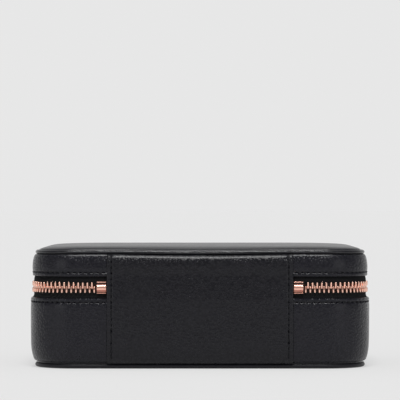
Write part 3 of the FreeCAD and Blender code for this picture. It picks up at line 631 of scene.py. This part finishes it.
def way_round(travel, inset):
    """Place and turn about Z at a distance round the case from the middle of the front."""
    way, left = math.copysign(1, travel), abs(travel)
    radius = CORNER_RADIUS - inset
    corner = math.pi / 2 * radius
    if left <= CORNER_X:
        return Vector((travel, -CORNER_Y - radius, 0)), 0
    left -= CORNER_X
    if left <= corner:
        turn = left / radius
        across, along = CORNER_X + radius * math.sin(turn), -CORNER_Y - radius * math.cos(turn)
        return Vector((way * across, along, 0)), way * turn
    left -= corner
    if left <= 2 * CORNER_Y:
        return Vector((way * (CORNER_X + radius), left - CORNER_Y, 0)), way * math.pi / 2
    left -= 2 * CORNER_Y
    if left <= corner:
        turn = left / radius
        across, along = CORNER_X + radius * math.cos(turn), CORNER_Y + radius * math.sin(turn)
        return Vector((way * across, along, 0)), way * (math.pi / 2 + turn)
    return Vector((way * (CORNER_X - left + corner), CORNER_Y + radius, 0)), math.pi


def half_way(inset, end):
    """Distance round the case from the middle of the front to the place at the back beside the panel."""
    return 2 * CORNER_X + math.pi * (CORNER_RADIUS - inset) + 2 * CORNER_Y - end


def lay_copies(model, name, placings):
    """Copies of the model, each with its own mesh, joined into one row."""
    copies = []
    for placing in placings:
        copy = model.copy()
        copy.data = model.data.copy()
        copy.matrix_world = placing
        bpy.context.scene.collection.objects.link(copy)
        copies.append(copy)
    bpy.ops.object.select_all(action="DESELECT")
    for copy in copies:
        copy.select_set(True)
    bpy.context.view_layer.objects.active = copies[0]
    bpy.ops.object.join()
    bpy.ops.object.transform_apply(location=True, rotation=True, scale=True)
    row = bpy.context.object
    row.name = row.data.name = name
    return row


# Steps along one stitch: how far along, how far out, and how much thicker the thread gets
STITCH_STEPS = [(0.26, -0.26, 1.9), (0.4, -0.12, 1.05), (0.84, 0.0, 1.0), (0.4, 0.12, 0.95),
                (0.26, 0.26, 0.53)]


def make_stitch():
    """One stitch along X that bows out along -Y, its ends dipping into the needle holes."""
    tip_radius, start, hole_depth = 0.14, -1.08, 0.36
    bpy.ops.object.select_all(action="DESELECT")
    bpy.ops.mesh.primitive_circle_add(vertices=6, radius=tip_radius * MM, rotation=(0, math.radians(90), 0),
                                      location=(start * MM, hole_depth * MM, 0))
    piece = bpy.context.object
    piece.name = "one_stitch"
    bpy.ops.object.transform_apply(location=True, rotation=True, scale=True)
    bpy.ops.object.mode_set(mode="EDIT")
    bpy.ops.mesh.select_all(action="SELECT")
    for along, out, swell in STITCH_STEPS:
        extrude(along, out, 0)
        mesh = bmesh.from_edit_mesh(piece.data)
        picked = [vertex.co for vertex in mesh.verts if vertex.select]
        bpy.ops.transform.resize(value=(swell,) * 3, center_override=sum(picked, Vector()) / len(picked))
    close_up()
    return leave(piece, thread, angle=60)


def make_tooth():
    """One tooth up from mid-chain: the flatter head that meshes and, past a shoulder, a proud rounded leg."""
    middle, size, shoulder, head_share = 1.18, (0.98, 2.6, 3.72), (0.3, 0.8), (1.04, 0.6, 1)
    leg_rounding, end_rounding = 0.42, 0.36
    bpy.ops.object.select_all(action="DESELECT")
    bpy.ops.mesh.primitive_cube_add(size=MM, location=(0, 0, middle * MM))
    piece = bpy.context.object
    piece.name = "one_tooth"
    bpy.ops.object.transform_apply(location=True, rotation=True, scale=True)
    bpy.ops.object.mode_set(mode="EDIT")
    bpy.ops.transform.resize(value=size, center_override=(0, 0, middle * MM))
    choose(lambda place: abs(place.z - middle) < 0.1, "EDGE")
    bpy.ops.mesh.bevel(offset=leg_rounding * MM, segments=2, affect="EDGES")
    for height in shoulder:
        bpy.ops.mesh.select_all(action="SELECT")
        bpy.ops.mesh.bisect(plane_co=(0, 0, height * MM), plane_no=(0, 0, 1))
    choose(lambda place: place.z < 0.5)
    bpy.ops.transform.resize(value=head_share, center_override=(0, 0, 0))
    choose(lambda place: place.z > 3.0 or place.z < -0.6, "EDGE")
    bpy.ops.mesh.bevel(offset=end_rounding * MM, segments=2, affect="EDGES")
    close_up()
    return leave(piece, rose_gold, angle=60)


def outward(place, turn, height, lean=0.0):
    """Where a copy stands at a place round the case, turned with the side there."""
    spot = Matrix.Translation(Vector((place.x, place.y, height)) * MM)
    return spot @ Matrix.Rotation(turn, 4, "Z") @ Matrix.Rotation(lean, 4, "X")


def row_of_stitches(name, body, inset, height):
    """Stitches along the zip at a height, from one side of the panel round the front to the other."""
    span = half_way(inset, PANEL_HALF + ROW_END_GAP)
    count = int(span / STITCH_PITCH)
    placings = [outward(*way_round(step * STITCH_PITCH, inset), height)
                for step in range(-count, count + 1)]
    settle(lay_copies(stitch, name, placings), body, "leather")


def parting(travel):
    """How far a slider lifts its row at this distance from the middle of the front."""
    most, slider_end, wedge = 1.2, 11.75, 5.5
    return most * min(max((slider_end - abs(travel)) / wedge, 0), 1)


def rows_of_teeth(body, up):
    """The teeth of the base's or the lid's tape, in a stretch along the front and one to each stop."""
    span = half_way(CHAIN_IN, STOP_MIDDLE + STOP_LENGTH / 2 + CHAIN_GAP + HALF_TOOTH)
    start = TOOTH_PITCH / 2 if up > 0 else 0
    stretches = {"front": [], "left": [], "right": []}
    count = math.floor((span - start) / TOOTH_PITCH)
    for step in range(-count - 1, count + 1):
        travel = start + step * TOOTH_PITCH
        if abs(travel) > span:
            continue
        place, turn = way_round(travel, CHAIN_IN)
        placing = outward(place, turn, ZIP_HEIGHT + up * parting(travel), 0 if up > 0 else math.pi)
        stretch = "front" if abs(travel) <= CORNER_X else "left" if travel < 0 else "right"
        stretches[stretch].append(placing)
    for stretch, placings in stretches.items():
        row = lay_copies(tooth, f"{body}_chain_{stretch}", placings)
        settle(row, body, "rose_gold", f"{body}_teeth_{stretch}")


stitch = make_stitch()
row_of_stitches("base_edge_stitches", "base", inset=0.14, height=BASE_ROW)
row_of_stitches("lid_edge_stitches", "lid", inset=1.09, height=LID_ROW)


def panel_out(height):
    """How far the panel's face stands out at a height above its turned foot, and how much it leans."""
    for (out, low), (far, high) in zip(PANEL_LINE[4:], PANEL_LINE[5:]):
        if low <= height <= high:
            return out + (far - out) * (height - low) / (high - low), math.atan2(far - out, high - low)
    raise ValueError(height)


for name, side in (("panel_stitches_right", 1), ("panel_stitches_left", -1)):
    placings = []
    for step in range(PANEL_STITCHES):
        height = FIRST_PANEL_STITCH + step * STITCH_PITCH
        out, lean = panel_out(height)
        spot = Matrix.Translation(Vector((side * PANEL_SEAM, BACK + out - 0.12, height)) * MM)
        placings.append(spot @ Matrix.Rotation(-lean, 4, "X") @ Matrix.Rotation(math.pi, 4, "Z")
                        @ Matrix.Rotation(math.pi / 2, 4, "Y"))
    row = lay_copies(stitch, name, placings)
    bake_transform(row)

tooth = make_tooth()
rows_of_teeth("base", -1)
rows_of_teeth("lid", 1)
for model in (stitch, tooth):
    bpy.data.objects.remove(model)


# Stops, sliders and pulls of the zip, and the dividers and the mirror's frame


def ease(node, name, width, material, segments=2):
    """A copy of a node's shape with its sharp edges rounded over."""
    bpy.ops.object.select_all(action="DESELECT")
    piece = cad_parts[node].copy()
    piece.data = piece.data.copy()
    piece.parent = None
    for key in list(piece.keys()):
        del piece[key]
    bpy.context.scene.collection.objects.link(piece)
    piece.name = piece.data.name = name
    piece.select_set(True)
    bpy.context.view_layer.objects.active = piece
    bpy.ops.object.mode_set(mode="EDIT")
    bpy.ops.mesh.select_all(action="SELECT")
    bpy.ops.mesh.remove_doubles(threshold=MERGE)
    bpy.ops.mesh.dissolve_limited(angle_limit=math.radians(1))
    bpy.ops.object.mode_set(mode="OBJECT")
    apply_modifier(piece, "BEVEL", width=width * MM, segments=segments, limit_method="ANGLE",
                   angle_limit=math.radians(35), use_clamp_overlap=True)
    return leave(piece, material, angle=35)


STOP_FACE = [
    (-3.3, 48.2), (-0.62, 48.28), (-0.4, 48.24), (-0.33, 48.16), (-0.33, 47.9), (-0.45, 47.76), (-0.8, 47.72),
    (-2.1, 47.7), (-2.1, 47.15), (-1.0, 47.1), (-0.86, 47.0), (-0.78, 46.45), (-0.66, 46.17), (-0.28, 45.62),
    (-0.19, 45.32), (-0.18, 44.8), (-0.18, 43.75), (-0.25, 43.5), (-0.5, 43.38), (-2.1, 43.33), (-2.1, 43.05),
    (-0.6, 43.0), (-0.36, 42.9), (-0.3, 42.74), (-0.36, 42.58), (-0.6, 42.5), (-2.1, 42.45), (-2.1, 42.2),
    (-0.8, 42.16), (-0.45, 42.1), (-0.33, 42.0), (-0.33, 41.85), (-0.42, 41.74), (-0.7, 41.7), (-3.3, 41.75),
]


def make_stop():
    """An end stop of the zip: two lips with a chamfered bar and a rib between them, and deep grooves."""
    piece = begin("one_stop")
    draw([(-STOP_LENGTH / 2, BACK + out, height) for out, height in STOP_FACE], closed=True)
    bpy.ops.mesh.edge_face_add()
    extrude(STOP_LENGTH, 0, 0)
    close_up()
    bpy.ops.object.mode_set(mode="OBJECT")
    apply_modifier(piece, "BEVEL", width=0.14 * MM, segments=2, limit_method="ANGLE",
                   angle_limit=math.radians(60), use_clamp_overlap=True)
    # The finish carries painted shade: a deeper rose gold for the light bouncing between the grooves.
    return leave(piece, stop_gold_painted_shade, angle=22)


def make_pull():
    """A pull that hangs from the origin: a flat tab with a sunk middle, a neck, and the eye that turns."""
    thickness, neck, half, tip = 1.6, 2.1, 3.6, 27.0
    rim, slope, sunk, eye_radius, eye_wall = 1.1, 0.25, 0.35, 1.9, 1.0
    round_top = half - tip
    side = [(neck, -1.4), (neck, -3.8), (neck + 0.15, -4.6), (2.75, -6.0), (3.3, -7.2), (half, -8.2),
            (half, -15.0)]
    side += [(half * math.cos(math.radians(turn)), round_top - half * math.sin(math.radians(turn)))
             for turn in range(0, 90, 10)]
    outline = side + [(0, -tip)] + [(-across, height) for across, height in reversed(side)]
    tab = begin("one_pull")
    draw([(across, thickness / 2, height) for across, height in outline], closed=True)
    bpy.ops.mesh.edge_face_add()
    extrude(0, -thickness, 0)
    bpy.ops.mesh.inset(thickness=rim * MM)
    bpy.ops.mesh.inset(thickness=slope * MM, depth=-sunk * MM)
    close_up()
    bpy.ops.object.mode_set(mode="OBJECT")
    apply_modifier(tab, "BEVEL", width=0.2 * MM, segments=3, limit_method="ANGLE",
                   angle_limit=math.radians(30), use_clamp_overlap=True)
    leave(tab, rose_gold, angle=35)
    bpy.ops.object.select_all(action="DESELECT")
    bpy.ops.mesh.primitive_circle_add(vertices=28, radius=eye_radius * MM, rotation=(0, math.radians(90), 0),
                                      location=(-neck * MM, 0, 0))
    eye = bpy.context.object
    bpy.ops.object.transform_apply(location=True, rotation=True, scale=True)
    bpy.ops.object.mode_set(mode="EDIT")
    bpy.ops.mesh.select_all(action="SELECT")
    extrude(2 * neck, 0, 0)
    close_up(fill=False)
    bpy.ops.object.mode_set(mode="OBJECT")
    apply_modifier(eye, "SOLIDIFY", thickness=eye_wall * MM, offset=-1.0, use_even_offset=True)
    apply_modifier(eye, "BEVEL", width=0.2 * MM, segments=2, limit_method="ANGLE",
                   angle_limit=math.radians(35))
    leave(eye, rose_gold, angle=35)
    tab.select_set(True)
    bpy.context.view_layer.objects.active = tab
    bpy.ops.object.join()
    return tab


pull, stop = make_pull(), make_stop()
for hand, way in (("left", -1), ("right", 1)):
    beside = Matrix.Translation((way * STOP_MIDDLE * MM, 0, 0))
    settle(lay_copies(stop, f"stop_box_{hand}", [beside]), "base", "rose_gold", f"zip_stop_{hand}")
    slider = ease(f"slider_{hand}", f"slider_body_{hand}", width=0.2, material=rose_gold)
    settle(slider, f"{hand}_slider", "rose_gold", f"slider_{hand}")
    hung = Matrix.Translation(Vector((way * BAIL_X, BAIL_Y, ZIP_HEIGHT)) * MM)
    settle(lay_copies(pull, f"pull_tab_{hand}", [hung]), f"{hand}_pull", "rose_gold", f"pull_{hand}")
for model in (pull, stop):
    bpy.data.objects.remove(model)
for node in ("long_divider", "middle_divider", "cross_divider"):
    settle(ease(node, f"{node}_suede", width=0.5, material=suede, segments=3), "base", "suede", node)
mirror_frame = ease("mirror_frame", "mirror_leather_frame", width=0.6, material=cover_leather, segments=3)
settle(mirror_frame, "lid", "leather", "mirror_frame")


# Ring rolls: foam wrapped in suede


# From each end of a roll inwards: how far in, its share of the full width and of the full height
ROLL_ENDS = [(0.4, 0.9, 0.93), (1.4, 0.95, 0.97), (4.0, 0.975, 0.985), (9.0, 0.99, 0.995), (16.0, 1.0, 1.0)]
ROLL_END_WIDTH, ROLL_END_HEIGHT = 0.8, 0.86


def make_roll():
    """The first roll: a rounded section drawn in at each end, crowned along its length."""
    low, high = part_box("ring_roll_1")
    start, end = low.x / MM, high.x / MM
    middle_y, floor, top = (low.y + high.y) / 2 / MM, low.z / MM, high.z / MM
    half = (high.y - low.y) / 2 / MM - 0.05
    shoulder = top - half
    outline = [(-half + 1.2, floor), (half - 1.2, floor), (half - 0.3, floor + 0.4), (half, floor + 1.6)]
    outline += [(half, shoulder - 5), (half, shoulder - 2)]
    outline += [(half * math.cos(math.radians(turn)), shoulder + half * math.sin(math.radians(turn)))
                for turn in range(0, 181, 12)]
    outline += [(-half, shoulder - 2), (-half, shoulder - 5), (-half, floor + 1.6),
                (-half + 0.3, floor + 0.4)]
    piece = begin("ring_roll_model")
    draw([(start, middle_y + across, height) for across, height in outline], closed=True)
    bpy.ops.transform.resize(value=(1, ROLL_END_WIDTH, ROLL_END_HEIGHT),
                             center_override=Vector((start, middle_y, floor)) * MM)
    length = end - start
    rings = ROLL_ENDS + [(length / 2, 1.0, 1.0)]
    rings += [(length - along, wide, tall) for along, wide, tall in reversed(ROLL_ENDS)]
    rings += [(length, ROLL_END_WIDTH, ROLL_END_HEIGHT)]
    at, at_wide, at_tall = 0.0, ROLL_END_WIDTH, ROLL_END_HEIGHT
    for along, wide, tall in rings:
        extrude(along - at, 0, 0)
        bpy.ops.transform.resize(value=(1, wide / at_wide, tall / at_tall),
                                 center_override=Vector((start + along, middle_y, floor)) * MM)
        at, at_wide, at_tall = along, wide, tall
    close_up()
    return leave(piece, suede, angle=60)


roll = make_roll()
first_low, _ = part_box("ring_roll_1")
for number in range(1, 7):
    low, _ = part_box(f"ring_roll_{number}")
    copy = lay_copies(roll, f"ring_roll_suede_{number}", [Matrix.Translation((0, low.y - first_low.y, 0))])
    settle(copy, "base", "suede", f"ring_roll_{number}")
bpy.data.objects.remove(roll)


# Finishes of the nodes that stay

for node, material in (
    ("base_floor_board", board), ("base_wall_board", board), ("base_hinge_backing", leather),
    ("lid_top_board", board), ("lid_wall_board", board), ("mirror", silvering),
):
    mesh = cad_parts[node].data
    mesh.materials.clear()
    mesh.materials.append(material)


# Floor, light and camera


PALE = 0.8                                         # the floor and the backdrop, as the camera sees them


def seen_directly(nodes, links, reflected):
    """1 for what the camera looks at, the reflected share for reflections and glass, 0 for other light."""
    path = nodes.new("ShaderNodeLightPath")
    seen = path.outputs["Is Camera Ray"]
    for ray in ("Is Glossy Ray", "Is Transmission Ray"):
        added = nodes.new("ShaderNodeMath")
        added.operation = "MULTIPLY_ADD"
        links.new(path.outputs[ray], added.inputs[0])
        added.inputs[1].default_value = reflected
        links.new(seen, added.inputs[2])
        seen = added.outputs["Value"]
    return seen


def make_stage():
    """A pale floor that keeps the case's shadow, with a share of even tone."""
    bpy.ops.object.select_all(action="DESELECT")
    bpy.ops.mesh.primitive_plane_add(size=40.0)
    floor = bpy.context.object
    floor.name = "pale_floor"
    floor.location.z = -0.1 * MM
    material, nodes, links, shader, _ = finish_nodes("pale_floor_paint")
    shader.inputs["Base Color"].default_value = (PALE, PALE, PALE, 1)
    shader.inputs["Roughness"].default_value = 1.0
    shader.inputs["Specular IOR Level"].default_value = 0.0
    glow = nodes.new("ShaderNodeEmission")
    glow.inputs["Strength"].default_value = PALE
    share = nodes.new("ShaderNodeMapRange")
    links.new(seen_directly(nodes, links, reflected=0.45), share.inputs["Value"])
    share.inputs["To Max"].default_value = 0.64
    blended = nodes.new("ShaderNodeMixShader")
    links.new(share.outputs["Result"], blended.inputs["Fac"])
    links.new(shader.outputs["BSDF"], blended.inputs[1])
    links.new(glow.outputs["Emission"], blended.inputs[2])
    links.new(blended.outputs["Shader"], nodes["Material Output"].inputs["Surface"])
    floor.data.materials.append(material)
    floor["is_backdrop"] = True


def make_world():
    """A pale room: dimmer at the ceiling and behind the camera in reflections, dimmer still as fill light."""
    world = bpy.data.worlds.new("pale_room")
    bpy.context.scene.world = world
    world.use_nodes = True
    nodes, links = world.node_tree.nodes, world.node_tree.links
    look = nodes.new("ShaderNodeTexCoord")
    parts = nodes.new("ShaderNodeSeparateXYZ")
    links.new(look.outputs["Generated"], parts.inputs["Vector"])
    wall = nodes.new("ShaderNodeMapRange")
    wall.interpolation_type = "SMOOTHSTEP"
    links.new(parts.outputs["Y"], wall.inputs["Value"])
    for name, value in (("From Min", -0.95), ("From Max", 0.3), ("To Min", PALE), ("To Max", 0.38)):
        wall.inputs[name].default_value = value
    room = nodes.new("ShaderNodeMapRange")
    room.interpolation_type = "SMOOTHSTEP"
    links.new(parts.outputs["Z"], room.inputs["Value"])
    links.new(wall.outputs["Result"], room.inputs["To Min"])
    for name, value in (("From Min", 0.04), ("From Max", 0.6), ("To Max", 0.3)):
        room.inputs[name].default_value = value
    path = nodes.new("ShaderNodeLightPath")
    mirrored = nodes.new("ShaderNodeMath")
    mirrored.operation = "ADD"
    links.new(path.outputs["Is Glossy Ray"], mirrored.inputs[0])
    links.new(path.outputs["Is Transmission Ray"], mirrored.inputs[1])
    lit = nodes.new("ShaderNodeMix")
    links.new(mirrored.outputs["Value"], lit.inputs["Factor"])
    lit.inputs["A"].default_value = 0.33
    links.new(room.outputs["Result"], lit.inputs["B"])
    seen = nodes.new("ShaderNodeMix")
    links.new(path.outputs["Is Camera Ray"], seen.inputs["Factor"])
    links.new(lit.outputs["Result"], seen.inputs["A"])
    seen.inputs["B"].default_value = PALE
    background = nodes["Background"]
    background.inputs["Color"].default_value = (1, 1, 1, 1)
    links.new(seen.outputs["Result"], background.inputs["Strength"])


def make_sun(name, azimuth, elevation, strength, spread):
    """A soft lamp far away, in a direction given in degrees."""
    lamp = bpy.data.lights.new(name, "SUN")
    lamp.energy = strength
    lamp.angle = math.radians(spread)
    sun = bpy.data.objects.new(name, lamp)
    bpy.context.scene.collection.objects.link(sun)
    turn, rise = math.radians(azimuth), math.radians(elevation)
    towards = Vector((math.cos(turn) * math.cos(rise), math.sin(turn) * math.cos(rise), math.sin(rise)))
    sun.rotation_mode = "QUATERNION"
    sun.rotation_quaternion = towards.to_track_quat("Z", "Y")


def make_camera():
    """Looks level at the back of the case, from a little above its lid."""
    camera = bpy.data.cameras.new("photo_camera")
    camera.lens = 228.15
    camera.sensor_width = 36.0
    camera.clip_start, camera.clip_end = 0.05, 100.0
    eye = bpy.data.objects.new("photo_camera", camera)
    bpy.context.scene.collection.objects.link(eye)
    eye.location = (0, 1.466, 0.09345)
    eye.rotation_euler = (math.radians(90), 0, math.radians(180))
    bpy.context.scene.camera = eye


make_stage()
make_world()
make_sun("overhead_softbox", azimuth=90, elevation=66, strength=1.9, spread=22)
make_sun("front_fill", azimuth=-70, elevation=55, strength=0.3, spread=60)
make_sun("left_strip", azimuth=52, elevation=8, strength=0.24, spread=30)
make_sun("right_strip", azimuth=128, elevation=8, strength=0.24, spread=30)
make_camera()
bpy.context.scene.view_settings.view_transform = "Standard"

low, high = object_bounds()
